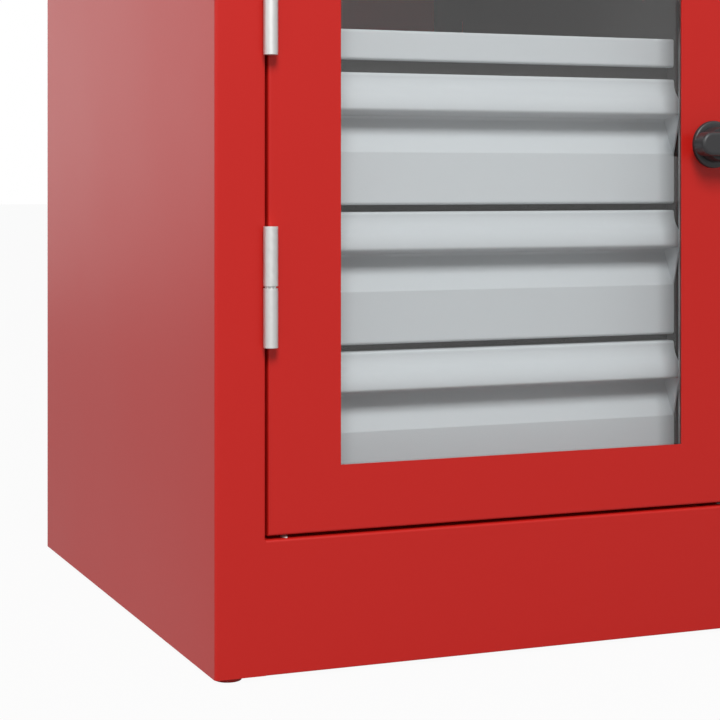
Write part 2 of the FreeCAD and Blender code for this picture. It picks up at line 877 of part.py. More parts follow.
def inner_section(z):
    """Channel on the tray whose lips hook behind those of the middle channel."""
    half = middle_half() - runner_sheet - runner_play
    waist = half - inner_lip
    x1 = tray_left - runner_sheet
    x0 = liner_inner + 2 * (runner_sheet + runner_play)
    path = [(x0, z + half), (x0, z + waist), (x1, z + waist), (x1, z - waist), (x0, z - waist)]
    path.append((x0, z - half))
    return path


def make_runner(section, thickness, index):
    front, rear = runner_ends()
    return folded(section(runner_level(index)), thickness, "xz", front, rear, square_fold)


def make_outer_runners():
    runners = []
    for index in range(len(drawer_names)):
        channel = make_runner(outer_section, runner_sheet, index)
        radius = screw_radius + screw_clearance
        x = (liner_inner - runner_sheet, liner_inner + 2 * runner_sheet)
        holes = [shank(radius, "yz", spot, *x) for spot in screw_spots()]
        runners += both_sides(channel.cut(holes))
    return runners


def make_runner_screws():
    screws = []
    wall = liner_inner - liner_sheet
    for spot in screw_spots():
        head = hexagon(screw_head_across, "yz", spot, wall - screw_head_height, wall)
        body = shank(screw_radius, "yz", spot, wall, liner_inner + runner_sheet)
        screws += both_sides(joined([head, body]))
    return screws


# ---- Drawers ----
def front_section(index):
    """Drawer front: ogee grip, finger space under it and the plain band."""
    z = drawer_top(index)
    y = drawer_face
    return [
        (y + front_flange, z),
        (y, z),
        (y, z - grip_start),
        (y - lip_reach, z - grip_end),
        (y - lip_reach, z - lip_edge),
        (y + recess_reach, z - recess_top),
        (y, z - crease),
        (y, z - front_height),
        (y + front_flange, z - front_height),
    ]


def front_radii():
    return [front_bend, ogee_radius, ogee_radius, front_bend, front_bend, crease_radius, square_fold]


def make_drawer_front(index):
    return folded(front_section(index), front_sheet, "yz", front_left, front_right, front_radii())


def make_grip_caps(index):
    """Plugs that close the hollow grip at both ends."""
    radii = [front_bend, ogee_radius, ogee_radius, front_bend]
    inner = offset_path(front_section(index), front_sheet)[:len(radii) + 2]
    edges = rounded_edges(inner, radii, "yz", front_left)
    first, last = (in_space("yz", point, front_left) for point in (inner[0], inner[-1]))
    edges.append(Part.LineSegment(first, last).toShape())
    face = Part.Face(Part.Wire(Part.__sortEdges__(edges)))
    return both_sides(face.extrude(Vector(cap_thickness, 0, 0)))


def make_tray(index):
    """Open tray whose nose reaches under the finger space to the front."""
    z = drawer_top(index)
    low = z - front_height + tray_under_front
    high = z - tray_below_top
    turn_z = z - recess_top - tray_turn_drop
    nose_z = z - crease - tray_nose_drop
    outline = [(front_inside, low), (tray_back, low), (tray_back, high), (tray_front, high)]
    outline += [(tray_front, turn_z), (front_inside, nose_z)]
    outer = prism(outline, "yz", tray_left, tray_right)
    path = [(tray_front, high + tray_sheet), (tray_front, turn_z), (front_inside, nose_z)]
    path += [(front_inside, low), (tray_back, low), (tray_back, high + tray_sheet)]
    inner = prism(offset_path(path, tray_sheet), "yz", tray_left + tray_sheet, tray_right - tray_sheet)
    return outer.cut(inner)


# ---- Writing the nodes ----
def save_carcass():
    side = make_side_panel()
    save("side_panel_left", side)
    save("side_panel_right", mirrored(make_side_panel()))
    save("plinth_panel", make_plinth())
    save("header_panel", make_header())
    save("rear_panel", make_rear_panel())
    x = (sheet, cabinet_width - sheet)
    save("top_panel", make_pan(*x, sheet, rear_inner, top, top - panel_rim, sheet))
    floor_front = stop_face + sheet
    save("floor_panel", make_pan(*x, floor_front, rear_inner, plinth_top, plinth_top - panel_rim, sheet))
    save("foot_glides", [make_foot(spot) for spot in foot_spots()])
    save("foot_brackets", [make_foot_bracket(spot) for spot in foot_spots()])
    buffer_x = stile_width + buffer_from_edge + buffer_width / 2
    save("door_buffers", both_sides(make_buffer(buffer_x)))


def save_hinges():
    levels = hinge_levels()
    save("hinge_frame_leaves", [make_frame_leaf(level) for level in levels])
    save("hinge_door_leaves", [make_door_leaf(level) for level in levels])
    save("hinge_pins", [make_hinge_pin(level) for level in levels])
    save("hinge_washers", [make_washer(level) for level in levels])


def save_door():
    save("door_panel", make_door_panel())
    save("window_pane", make_pane())
    save("pane_gasket", frame_ring(gasket_inset, gasket_width, sheet, pane_front))
    save("pane_clamp_strips", make_clamp_strips())
    save("pane_fasteners", [make_pane_fastener(spot) for spot in pane_stud_spots()])
    save("door_stiffener", make_door_stiffener())


def save_lock():
    save("lock_rosette", make_rosette())
    save("lock_case", make_lock_case())
    save("door_handle", make_handle())
    save("lock_cylinder", make_lock_cylinder())
    save("lock_cam", make_lock_cam())
    save("cam_screw", make_cam_screw())
    save("locking_rod_upper", make_rod(1))
    save("locking_rod_lower", make_rod(-1))
    save("rod_guides", [
        make_rod_guide(1, door_top - guide_from_edge),
        make_rod_guide(1, lock_z + guide_from_lock),
        make_rod_guide(-1, lock_z - guide_from_lock),
        make_rod_guide(-1, door_bottom + guide_from_edge),
    ])


def save_housing():
    save("liner_left", make_liner())
    save("liner_right", mirrored(make_liner()))
    save("tie_rails", tie_rails())
    save("shelf", make_shelf())
    clips = []
    for y in (slot_front, slot_rear):
        clips += both_sides(make_shelf_clip(y))
    save("shelf_clips", clips)
    save("runner_outer_channels", make_outer_runners())
    save("runner_screws", make_runner_screws())


def save_drawers():
    for index, name in enumerate(drawer_names):
        save(f"{name}_drawer_front", make_drawer_front(index))
        save(f"{name}_drawer_tray", make_tray(index))
        save(f"{name}_grip_caps", make_grip_caps(index))
        save(f"{name}_runner_middle_channels", both_sides(make_runner(middle_section, runner_sheet, index)))
        save(f"{name}_runner_inner_channels", both_sides(make_runner(inner_section, runner_sheet, index)))


os.makedirs("parts", exist_ok=True)
save_carcass()
save_hinges()
save_door()
save_lock()
save_housing()
save_drawers()
print("rod stroke", round(rod_stroke, 2), "hinge axis", axis_x - origin.x, axis_y - origin.y)
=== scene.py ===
import json
import math

import bmesh
import bpy
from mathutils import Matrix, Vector


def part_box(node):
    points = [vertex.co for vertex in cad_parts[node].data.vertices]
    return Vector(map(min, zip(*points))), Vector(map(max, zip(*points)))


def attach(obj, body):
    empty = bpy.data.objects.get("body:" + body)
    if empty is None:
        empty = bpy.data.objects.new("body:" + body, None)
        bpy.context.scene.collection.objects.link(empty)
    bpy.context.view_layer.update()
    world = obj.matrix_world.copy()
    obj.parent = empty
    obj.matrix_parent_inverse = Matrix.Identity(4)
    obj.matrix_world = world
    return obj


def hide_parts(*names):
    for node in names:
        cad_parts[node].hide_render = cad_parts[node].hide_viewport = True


# Tool cabinet: red folded sheet steel, one door with a window, three drawers
# with rolled grips. Sizes in the dictionaries are millimetres on the cabinet:
# x from its left face, y from its front face, z up from the floor.
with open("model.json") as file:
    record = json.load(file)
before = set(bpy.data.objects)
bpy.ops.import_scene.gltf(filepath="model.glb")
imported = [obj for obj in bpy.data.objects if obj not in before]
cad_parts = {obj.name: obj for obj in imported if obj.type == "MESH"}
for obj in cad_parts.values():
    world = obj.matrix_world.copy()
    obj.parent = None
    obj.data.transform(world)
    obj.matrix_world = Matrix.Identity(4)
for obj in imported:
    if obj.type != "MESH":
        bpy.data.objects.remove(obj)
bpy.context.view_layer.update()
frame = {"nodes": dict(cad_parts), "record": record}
nodes = frame["nodes"]
print("frame loaded:", len(nodes), "nodes")

# reach is how far the grips, hinges and handle stand out in front
cabinet = {"width": 540.0, "depth": 600.0, "bottom": 4.0, "top": 800.0, "reach": 29.3,
           "sheet": 1.5, "fold": 2.5}
frameShift = Vector((cabinet["width"] / 2, (cabinet["depth"] - cabinet["reach"]) / 2, 0))
foldSteps = 5
weldDistance = 1e-6  # metres
cutDistance = 1e-7  # metres
aside = 50.0  # puts a point clearly on a sheet's outer side


def at(x, y, z):
    return (Vector((x, y, z)) - frameShift) / 1000


def onPlane(plane, u, v, level):
    return at(u, v, level) if plane == "xy" else at(level, u, v)


def newMaterial(name):
    material = bpy.data.materials.new(name)
    material.use_nodes = True
    tree = material.node_tree
    shader = tree.nodes["Principled BSDF"]
    place = tree.nodes.new("ShaderNodeTexCoord").outputs["Object"]
    return material, tree, shader, place


def noise(tree, place, scale, detail):
    texture = tree.nodes.new("ShaderNodeTexNoise")
    texture.inputs["Scale"].default_value = scale
    texture.inputs["Detail"].default_value = detail
    tree.links.new(place, texture.inputs["Vector"])
    return texture.outputs["Fac"]


def bump(tree, shader, height, strength, distance):
    node = tree.nodes.new("ShaderNodeBump")
    node.inputs["Strength"].default_value = strength
    node.inputs["Distance"].default_value = distance
    tree.links.new(height, node.inputs["Height"])
    tree.links.new(node.outputs["Normal"], shader.inputs["Normal"])


def spread(tree, value, low, high, socket):
    # A noise seldom leaves 0.3 to 0.7, so that much of it fills the range
    ramp = tree.nodes.new("ShaderNodeMapRange")
    ramp.inputs["From Min"].default_value = 0.3
    ramp.inputs["From Max"].default_value = 0.7
    ramp.inputs["To Min"].default_value = low
    ramp.inputs["To Max"].default_value = high
    tree.links.new(value, ramp.inputs["Value"])
    tree.links.new(ramp.outputs["Result"], socket)


def tint(tree, value, first, second, socket):
    mix = tree.nodes.new("ShaderNodeMix")
    mix.data_type = "RGBA"
    mix.inputs["A"].default_value = (*first, 1)
    mix.inputs["B"].default_value = (*second, 1)
    tree.links.new(value, mix.inputs["Factor"])
    tree.links.new(mix.outputs["Result"], socket)


def combine(tree, operation, first, second):
    # second is a socket or a plain number
    node = tree.nodes.new("ShaderNodeMath")
    node.operation = operation
    tree.links.new(first, node.inputs[0])
    if isinstance(second, float):
        node.inputs[1].default_value = second
    else:
        tree.links.new(second, node.inputs[1])
    return node.outputs[0]


def mixShaders(tree, share, first, second, output):
    mix = tree.nodes.new("ShaderNodeMixShader")
    for index, socket in enumerate((share, first, second)):
        tree.links.new(socket, mix.inputs[index])
    tree.links.new(mix.outputs[0], tree.nodes[output].inputs["Surface"])


# A kind says how deep its grain is in metres, how far the roughness varies and how dark its darkest shade is
kinds = {
    "coat": {"metallic": 0.0, "detail": 2.0, "depth": 0.0002, "vary": 0.008, "shade": 0.985, "cloud": 5.0},
    "metal": {"metallic": 1.0, "detail": 4.0, "depth": 0.0001, "vary": 0.06, "shade": 0.9},
    "plastic": {"metallic": 0.0, "detail": 2.0, "depth": 0.0001, "vary": 0.05, "shade": 0.92},
}
looks = {
    "red": {"kind": "coat", "colour": (0.525, 0.0115, 0.0075), "rough": 0.40, "gloss": 0.34,
            "grain": 420.0, "relief": 0.12},
    "lightGrey": {"kind": "coat", "colour": (0.558, 0.582, 0.60), "rough": 0.42, "gloss": 0.1,
                  "grain": 450.0, "relief": 0.10},
    "anthracite": {"kind": "coat", "colour": (0.036, 0.035, 0.034), "rough": 0.55, "gloss": 0.2,
                   "grain": 450.0, "relief": 0.12},
    "zinc": {"kind": "metal", "colour": (0.56, 0.57, 0.57), "rough": 0.36, "grain": 160.0, "relief": 0.15},
    "nickel": {"kind": "metal", "colour": (0.63, 0.628, 0.62), "rough": 0.55, "grain": 300.0, "relief": 0.04},
    "brass": {"kind": "metal", "colour": (0.62, 0.45, 0.2), "rough": 0.3, "grain": 300.0, "relief": 0.05},
    "chrome": {"kind": "metal", "colour": (0.7, 0.7, 0.69), "rough": 0.18, "grain": 400.0, "relief": 0.03},
    "blackPlastic": {"kind": "plastic", "colour": (0.022, 0.022, 0.024), "rough": 0.42,
                     "grain": 900.0, "relief": 0.2},
    "greyPlastic": {"kind": "plastic", "colour": (0.3, 0.31, 0.32), "rough": 0.45,
                    "grain": 900.0, "relief": 0.15},
    "palePlastic": {"kind": "plastic", "colour": (0.72, 0.72, 0.7), "rough": 0.4,
                    "grain": 700.0, "relief": 0.1},
    "blackRubber": {"kind": "plastic", "colour": (0.018, 0.018, 0.018), "rough": 0.75,
                    "grain": 700.0, "relief": 0.3},
}
acrylicLook = {"colour": (0.985, 0.99, 0.99), "through": (0.96, 0.97, 0.97), "bend": 1.49, "gloss": 0.05,
               "rough": 0.015, "cloud": 4.0, "detail": 3.0}


def makeFinish(name, look):
    kind = kinds[look["kind"]]
    material, tree, shader, place = newMaterial(name)
    shader.inputs["Metallic"].default_value = kind["metallic"]
    if "gloss" in look:
        shader.inputs["Specular IOR Level"].default_value = look["gloss"]
    grain = noise(tree, place, look["grain"], kind["detail"])
    # Paint has fine peel and a wide cloud of its own, the rest takes both from one grain
    cloud = noise(tree, place, kind["cloud"], kind["detail"]) if "cloud" in kind else grain
    bump(tree, shader, grain, look["relief"], kind["depth"])
    rough, vary = look["rough"], kind["vary"]
    spread(tree, cloud, rough - vary, rough + vary, shader.inputs["Roughness"])
    shade = [channel * kind["shade"] for channel in look["colour"]]
    tint(tree, cloud, shade, look["colour"], shader.inputs["Base Color"])
    return material


def clearPane(name, look):
    # Clear sheet that lets shadow and bounce rays straight through
    material, tree, shader, place = newMaterial(name)
    shader.inputs["Transmission Weight"].default_value = 1.0
    shader.inputs["IOR"].default_value = look["bend"]
    shader.inputs["Specular IOR Level"].default_value = look["gloss"]
    shader.inputs["Base Color"].default_value = (*look["colour"], 1)
    cloud = noise(tree, place, look["cloud"], look["detail"])
    spread(tree, cloud, 0.0, look["rough"], shader.inputs["Roughness"])
    rays = tree.nodes.new("ShaderNodeLightPath").outputs
    either = combine(tree, "MAXIMUM", rays["Is Shadow Ray"], rays["Is Diffuse Ray"])
    through = tree.nodes.new("ShaderNodeBsdfTransparent")
    through.inputs["Color"].default_value = (*look["through"], 1)
    mixShaders(tree, either, shader.outputs[0], through.outputs[0], "Material Output")
    return material


finishes = {name: makeFinish(name, look) for name, look in looks.items()}
finishes["acrylic"] = clearPane("acrylic", acrylicLook)
print("finishes made:", len(finishes))

slotFinishes = {
    "red_paint": "red", "light_grey_paint": "lightGrey", "anthracite_paint": "anthracite",
    "zinc_plate": "zinc", "hinge_steel": "nickel", "cylinder_steel": "chrome", "brass": "brass",
    "pale_plastic": "palePlastic", "grey_plastic": "greyPlastic", "black_plastic": "blackPlastic",
    "black_rubber": "blackRubber", "acrylic": "acrylic",
}


def dressNodes():
    dressed = 0
    for entry in frame["record"]["subparts"]:
        mesh = nodes[entry["node"]].data
        mesh.materials.clear()
        mesh.materials.append(finishes[slotFinishes[entry["material_slot"]]])
        dressed += 1
    return dressed


print("nodes dressed:", dressNodes())


def finishPiece(name, bm, slotName, body, covers, smooth=True, angle=32.0):
    bmesh.ops.remove_doubles(bm, verts=bm.verts[:], dist=weldDistance)
    mesh = bpy.data.meshes.new(name)
    bm.to_mesh(mesh)
    bm.free()
    if smooth:
        mesh.shade_smooth()
        mesh.set_sharp_from_angle(angle=math.radians(angle))
    mesh.materials.append(finishes[slotFinishes[slotName]])
    piece = bpy.data.objects.new(name, mesh)
    bpy.context.scene.collection.objects.link(piece)
    if smooth:
        even = piece.modifiers.new("evenNormals", "WEIGHTED_NORMAL")
        even.keep_sharp = True
    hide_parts(*covers)
    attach(piece, body)


def thicken(bm, gauge):
    # Walls grow behind the faces
    bmesh.ops.solidify(bm, geom=bm.faces[:] + bm.edges[:] + bm.verts[:], thickness=gauge / 1000)


def roundEdges(bm, edges, radius, steps=foldSteps):
    bmesh.ops.bevel(bm, geom=edges, offset=radius / 1000, offset_type="OFFSET", segments=steps,
                    profile=0.5, affect="EDGES", material=-1, clamp_overlap=False)


def onlyVerts(parts):
    return [part for part in parts if isinstance(part, bmesh.types.BMVert)]


def addShape(bm, part):
    shape = bpy.data.meshes.new("shape")
    part.to_mesh(shape)
    part.free()
    bm.from_mesh(shape)
    bpy.data.meshes.remove(shape)


def makeBlock(bm, low, high):
    cube = bmesh.ops.create_cube(bm, size=1.0)["verts"]
    bmesh.ops.scale(bm, vec=high - low, verts=cube)
    bmesh.ops.translate(bm, vec=(low + high) / 2, verts=cube)


def addBlock(bm, low, high):
    part = bmesh.new()
    makeBlock(part, low, high)
    addShape(bm, part)


def makePlate(bm, corners, shift):
    outline = bm.faces.new([bm.verts.new(corner) for corner in corners])
    grown = bmesh.ops.extrude_face_region(bm, geom=[outline])["geom"]
    bmesh.ops.translate(bm, verts=onlyVerts(grown), vec=shift)
    bmesh.ops.recalc_face_normals(bm, faces=bm.faces[:])


def turnAt(before, corner, after):
    first = Vector(corner) - Vector(before)
    second = Vector(after) - Vector(corner)
    return abs(first.angle_signed(second))


def foldAlong(bm, points, folds, plane, start, end, outward, steps=foldSteps):
    # Sheet surface along a path; folds holds each corner's radius, outward a point of the outer side
    made = [bm.verts.new(onPlane(plane, u, v, start)) for u, v in points]
    lines = [bm.edges.new(pair) for pair in zip(made, made[1:])]
    grown = bmesh.ops.extrude_edge_only(bm, edges=lines)["geom"]
    faces = [part for part in grown if isinstance(part, bmesh.types.BMFace)]
    shift = onPlane(plane, 0, 0, end) - onPlane(plane, 0, 0, start)
    bmesh.ops.translate(bm, verts=onlyVerts(grown), vec=shift)
    bm.normal_update()
    first = next(face for face in faces if made[0] in face.verts)
    if first.normal.dot(onPlane(plane, *outward, start) - made[0].co) < 0:
        bmesh.ops.reverse_faces(bm, faces=faces)
    for index, radius in enumerate(folds, 1):
        if radius <= 0:
            continue
        turn = turnAt(points[index - 1], points[index], points[index + 1])
        fold = [edge for edge in made[index].link_edges if len(edge.link_faces) == 2]
        roundEdges(bm, fold, radius * math.tan(turn / 2), steps)


def ringOf(bm, x0, x1, z0, z1):
    corners = [(x0, z0), (x1, z0), (x1, z1), (x0, z1)]
    verts = [bm.verts.new(at(x, 0, z)) for x, z in corners]
    return [bm.edges.new((verts[i], verts[(i + 1) % 4])) for i in range(4)]


def turned(bm, profile, centre, axis, steps):
    # Round piece: profile holds (distance from the axis, level along it) pairs in millimetres
    side = Vector((1, 0, 0))
    spots = [centre + side * r / 1000 + Vector(axis) * level / 1000 for r, level in profile]
    verts = [bm.verts.new(spot) for spot in spots]
    edges = [bm.edges.new(pair) for pair in zip(verts, verts[1:])]
    bmesh.ops.spin(bm, geom=verts + edges, cent=centre, axis=axis, angle=math.tau, steps=steps,
                   use_merge=True, use_duplicate=False)
    bmesh.ops.remove_doubles(bm, verts=bm.verts[:], dist=weldDistance)
    bmesh.ops.recalc_face_normals(bm, faces=bm.faces[:])


def addTurned(bm, profile, centre, axis, steps):
    part = bmesh.new()
    turned(part, profile, centre, axis, steps)
    addShape(bm, part)


upwards = (0, 0, 1)
forwards = (0, -1, 0)

sidePanel = {"stile": 43.0, "rearFlange": 22.0, "doorwayBottom": 113.5, "doorwayTop": 757.8,
             "stopDepth": 21.0, "stopLip": 14.8, "stopTrim": 12.0, "stopFold": 1.0}


def makeSidePanel(name, node, right):
    s = sidePanel
    width, depth, fold = cabinet["width"], cabinet["depth"], cabinet["fold"]

    def across(path):
        return [(width - x, y) for x, y in path] if right else path

    plain = [(s["rearFlange"], depth), (0, depth), (0, 0), (s["stile"] - fold, 0), (s["stile"], 0)]
    rebate = plain + [(s["stile"], s["stopDepth"])]
    full = rebate + [(s["stile"] + s["stopLip"], s["stopDepth"])]
    low, high, trim = s["doorwayBottom"], s["doorwayTop"], s["stopTrim"]
    levels = [
        (cabinet["bottom"], low, plain),
        (low, low + trim, rebate),
        (low + trim, high - trim, full),
        (high - trim, high, rebate),
        (high, cabinet["top"], plain),
    ]
    bm = bmesh.new()
    outward = (width + aside if right else -aside, depth + aside)
    for start, end, path in levels:
        folds = [fold, fold, 0, fold, s["stopFold"]][:len(path) - 2]
        foldAlong(bm, across(path), folds, "xy", start, end, outward)
    bmesh.ops.remove_doubles(bm, verts=bm.verts[:], dist=weldDistance)
    thicken(bm, cabinet["sheet"])
    finishPiece(name, bm, "red_paint", "carcass", [node])


makeSidePanel("sideSheetLeft", "side_panel_left", False)
makeSidePanel("sideSheetRight", "side_panel_right", True)

rods = {"x": 463.9, "offset": 10.5, "front": 7.5, "width": 10.0, "thickness": 4.0, "play": 0.4}


def cutRodSlot(bm, side, level):
    # Opening for a locking rod in the flat fold at this height, give or take a millimetre
    half = rods["width"] / 2 + rods["play"]
    x = rods["x"] + side * rods["offset"]
    low = at(x - half, rods["front"] - rods["play"], level - 1)
    high = at(x + half, rods["front"] + rods["thickness"] + rods["play"], level + 1)
    for spot, normal in ((low, (1, 0, 0)), (high, (1, 0, 0)), (low, (0, 1, 0)), (high, (0, 1, 0))):
        flat = [face for face in bm.faces if all(low.z < vert.co.z < high.z for vert in face.verts)]
        edges = [edge for edge in bm.edges if any(face in flat for face in edge.link_faces)]
        verts = [vert for vert in bm.verts if any(face in flat for face in vert.link_faces)]
        bmesh.ops.bisect_plane(bm, geom=verts + edges + flat, plane_co=spot, plane_no=normal,
                               dist=cutDistance)
    inside = []
    for face in bm.faces:
        middle = face.calc_center_median()
        if all(low[axis] < middle[axis] < high[axis] for axis in range(3)):
            inside.append(face)
    bmesh.ops.delete(bm, geom=inside, context="FACES")


crossPanels = {"stopLip": 12.0, "stopFold": 1.0, "bottomFlange": 30.0, "bottomFold": 0.8}


def makeCrossPanel(name, node, path, folds, outward, side, level):
    # Panel between the side panels' stiles, with the slot that one rod locks into
    left = sidePanel["stile"]
    bm = bmesh.new()
    foldAlong(bm, path, folds, "yz", left, cabinet["width"] - left, outward)
    cutRodSlot(bm, side, level)
    thicken(bm, cabinet["sheet"])
    finishPiece(name, bm, "red_paint", "carcass", [node])


def makeCrossPanels():
    c = crossPanels
    stop, fold = sidePanel["stopDepth"], cabinet["fold"]
    low, level = cabinet["bottom"], sidePanel["doorwayBottom"]
    path = [(c["bottomFlange"], low), (0, low), (0, level), (stop, level), (stop, level + c["stopLip"])]
    makeCrossPanel("plinthSheet", "plinth_panel", path, [c["bottomFold"], fold, c["stopFold"]],
                   (c["bottomFlange"], low - aside), -1, level)
    high, level = cabinet["top"], sidePanel["doorwayTop"]
    path = [(0, high), (0, level), (stop, level), (stop, level - c["stopLip"])]
    makeCrossPanel("headerSheet", "header_panel", path, [fold, c["stopFold"]], (-aside, high), 1, level)


makeCrossPanels()


def makeTopPanel():
    # Box without its underside
    bm = bmesh.new()
    makeBlock(bm, *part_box("top_panel"))
    bm.normal_update()
    under = [face for face in bm.faces if face.normal.z < -0.5]
    bmesh.ops.delete(bm, geom=under, context="FACES_ONLY")
    folds = [edge for edge in bm.edges if len(edge.link_faces) == 2]
    roundEdges(bm, folds, cabinet["fold"])
    thicken(bm, cabinet["sheet"])
    finishPiece("topSheet", bm, "red_paint", "carcass", ["top_panel"])


makeTopPanel()

foot = {"radius": 11.5, "height": 4.0, "rim": 1.3, "rimAngles": (0.4, 0.8, 1.2, math.pi / 2), "inset": 16.0,
        "stud": 4.0, "studLength": 14.0, "steps": 48}


def makeFeet():
    f = foot
    r, h, e = f["radius"], f["height"], f["rim"]
    profile = [(0, 0), (r - e, 0)]
    profile += [(r - e + e * math.sin(a), e - e * math.cos(a)) for a in f["rimAngles"]]
    profile += [(r, h), (f["stud"], h), (f["stud"], h + f["studLength"]), (0, h + f["studLength"])]
    bm = bmesh.new()
    for x in (f["inset"], cabinet["width"] - f["inset"]):
        for y in (f["inset"], cabinet["depth"] - f["inset"]):
            addTurned(bm, profile, at(x, y, 0), upwards, f["steps"])
    finishPiece("feet", bm, "red_paint", "carcass", ["foot_glides"])


makeFeet()
print("carcass made")

door = {"left": 45.1, "right": 494.9, "bottom": 116.4, "top": 754.9, "depth": 20.0, "lip": 12.0,
        "stile": 63.0, "rail": 54.2}


def makeDoor():
    d = door
    left, right, bottom, top = d["left"], d["right"], d["bottom"], d["top"]
    bm = bmesh.new()
    outer = ringOf(bm, left, right, bottom, top)
    inner = ringOf(bm, left + d["stile"], right - d["stile"], bottom + d["rail"], top - d["rail"])
    bmesh.ops.bridge_loops(bm, edges=outer + inner)
    bm.normal_update()
    if bm.faces[:][0].normal.y > 0:
        bmesh.ops.reverse_faces(bm, faces=bm.faces[:])
    grown = bmesh.ops.extrude_edge_only(bm, edges=outer)["geom"]
    rim = onlyVerts(grown)
    bmesh.ops.translate(bm, verts=rim, vec=(0, d["depth"] / 1000, 0))
    rimEdges = [part for part in grown if isinstance(part, bmesh.types.BMEdge)
                and all(vert in rim for vert in part.verts)]
    lip = onlyVerts(bmesh.ops.extrude_edge_only(bm, edges=rimEdges)["geom"])
    middle = at((left + right) / 2, d["depth"], (bottom + top) / 2)
    for vert in lip:
        vert.co.x += math.copysign(d["lip"] / 1000, middle.x - vert.co.x)
        vert.co.z += math.copysign(d["lip"] / 1000, middle.z - vert.co.z)
    roundEdges(bm, [edge for edge in outer if edge.is_valid], cabinet["fold"])
    bmesh.ops.recalc_face_normals(bm, faces=bm.faces[:])
    bm.normal_update()
    front = max(bm.faces, key=lambda face: face.calc_area() if abs(face.normal.y) > 0.9 else 0)
    if front.normal.y > 0:
        bmesh.ops.reverse_faces(bm, faces=bm.faces[:])
    cutRodSlot(bm, 1, top)
    cutRodSlot(bm, -1, bottom)
    thicken(bm, cabinet["sheet"])
    finishPiece("doorSheet", bm, "red_paint", "door", ["door_panel"])


makeDoor()

pane = {"round": 0.3, "roundSteps": 2}


def makePane():
    bm = bmesh.new()
    makeBlock(bm, *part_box("window_pane"))
    roundEdges(bm, bm.edges[:], pane["round"], pane["roundSteps"])
    finishPiece("windowPane", bm, "acrylic", "door", ["window_pane"], smooth=False)


makePane()

buffer = {"x": 59.0, "y": 3.0, "width": 5.5, "length": 14.0, "height": 1.8, "around": 24, "upDown": 12}


def makeBuffers():
    # Low domed pads on the plinth's ledge that the door closes over
    b = buffer
    bm = bmesh.new()
    for left in (b["x"], cabinet["width"] - b["x"] - b["width"]):
        part = bmesh.new()
        bmesh.ops.create_uvsphere(part, u_segments=b["around"], v_segments=b["upDown"], radius=1.0)
        bmesh.ops.bisect_plane(part, geom=part.verts[:] + part.edges[:] + part.faces[:],
                               plane_co=(0, 0, 0), plane_no=(0, 0, -1), clear_outer=True)
        rim = [edge for edge in part.edges if len(edge.link_faces) == 1]
        bmesh.ops.contextual_create(part, geom=rim)
        size = (b["width"] / 2000, b["length"] / 2000, b["height"] / 1000)
        bmesh.ops.scale(part, vec=size, verts=part.verts[:])
        place = at(left + b["width"] / 2, b["y"] + b["length"] / 2, sidePanel["doorwayBottom"])
        bmesh.ops.translate(part, vec=place, verts=part.verts[:])
        addShape(bm, part)
    bmesh.ops.recalc_face_normals(bm, faces=bm.faces[:])
    finishPiece("bufferPads", bm, "pale_plastic", "carcass", ["door_buffers"], angle=50)


makeBuffers()
print("door made")

# joint is the gap between the barrels, which the ring's studs and core fill; angles are in degrees
hinge = {"x": 44.8, "y": -6.5, "levels": (317.85, 553.45), "radius": 6.0, "edge": 0.35, "length": 97.7,
         "softShare": 0.3, "joint": 1.6, "frameLeaf": 42.6, "doorLeaf": 43.1, "leaf": 2.0,
         "leafDepth": 16.0, "leafTrim": 1.0, "steps": 40}
ring = {"studs": 7, "studRadius": 1.25, "studCircle": 3.45, "studStart": -96.9, "core": 2.9, "steps": 24}


def barrelProfile(z0, z1):
    r, e = hinge["radius"], hinge["edge"]
    soft = hinge["softShare"] * e
    return [(0, z0), (r - e, z0), (r - soft, z0 + soft), (r, z0 + e),
            (r, z1 - e), (r - soft, z1 - soft), (r - e, z1), (0, z1)]


def makeHingeHalves(name, body, node, side, leafPlace):
    h = hinge
    bm = bmesh.new()
    for level in h["levels"]:
        z0, z1 = sorted((level + side * h["joint"] / 2, level + side * h["length"] / 2))
        addTurned(bm, barrelProfile(z0, z1), at(h["x"], h["y"], 0), upwards, h["steps"])
        addBlock(bm, at(leafPlace, h["y"], z0 + h["leafTrim"]),
                 at(leafPlace + h["leaf"], h["leafDepth"], z1 - h["leafTrim"]))
    finishPiece(name, bm, "hinge_steel", body, [node])


def makeHingeRings():
    x, y, half = hinge["x"], hinge["y"], hinge["joint"] / 2
    bm = bmesh.new()
    for level in hinge["levels"]:
        spots = [(x, y, ring["core"])]
        for step in range(ring["studs"]):
            angle = math.radians(ring["studStart"]) + math.tau * step / ring["studs"]
            spots.append((x + ring["studCircle"] * math.cos(angle), y + ring["studCircle"] * math.sin(angle),
                          ring["studRadius"]))
        for u, v, r in spots:
            profile = [(0, level - half), (r, level - half), (r, level + half), (0, level + half)]
            addTurned(bm, profile, at(u, v, 0), upwards, ring["steps"])
    finishPiece("hingeRings", bm, "hinge_steel", "door", ["hinge_washers"])


makeHingeHalves("hingeFrameHalves", "carcass", "hinge_frame_leaves", -1, hinge["frameLeaf"])
makeHingeHalves("hingeDoorHalves", "door", "hinge_door_leaves", 1, hinge["doorLeaf"])
makeHingeRings()
print("hinges made")

# rosetteEdge holds (in from the rim, back from the front) pairs
lock = {"z": 435.65, "rosetteRadius": 21.0, "rosetteDepth": 4.0, "gap": 0.3,
        "rosetteEdge": ((0, 1.6), (0.45, 0.5), (1.6, 0), (3.0, 0)), "hubRadius": 16.0, "hubDepth": 10.0,
        "hubTaper": 2.0, "hubEdge": 0.5, "wingLength": 56.0, "wingWidth": 21.0, "wingDepth": 15.0,
        "wingRound": 3.0, "endSteps": 16, "cylinderRadius": 7.0, "cylinderLength": 13.0,
        "cylinderEdge": (0.5, 0.2), "rosetteSteps": 64, "hubSteps": 56, "cylinderSteps": 40}


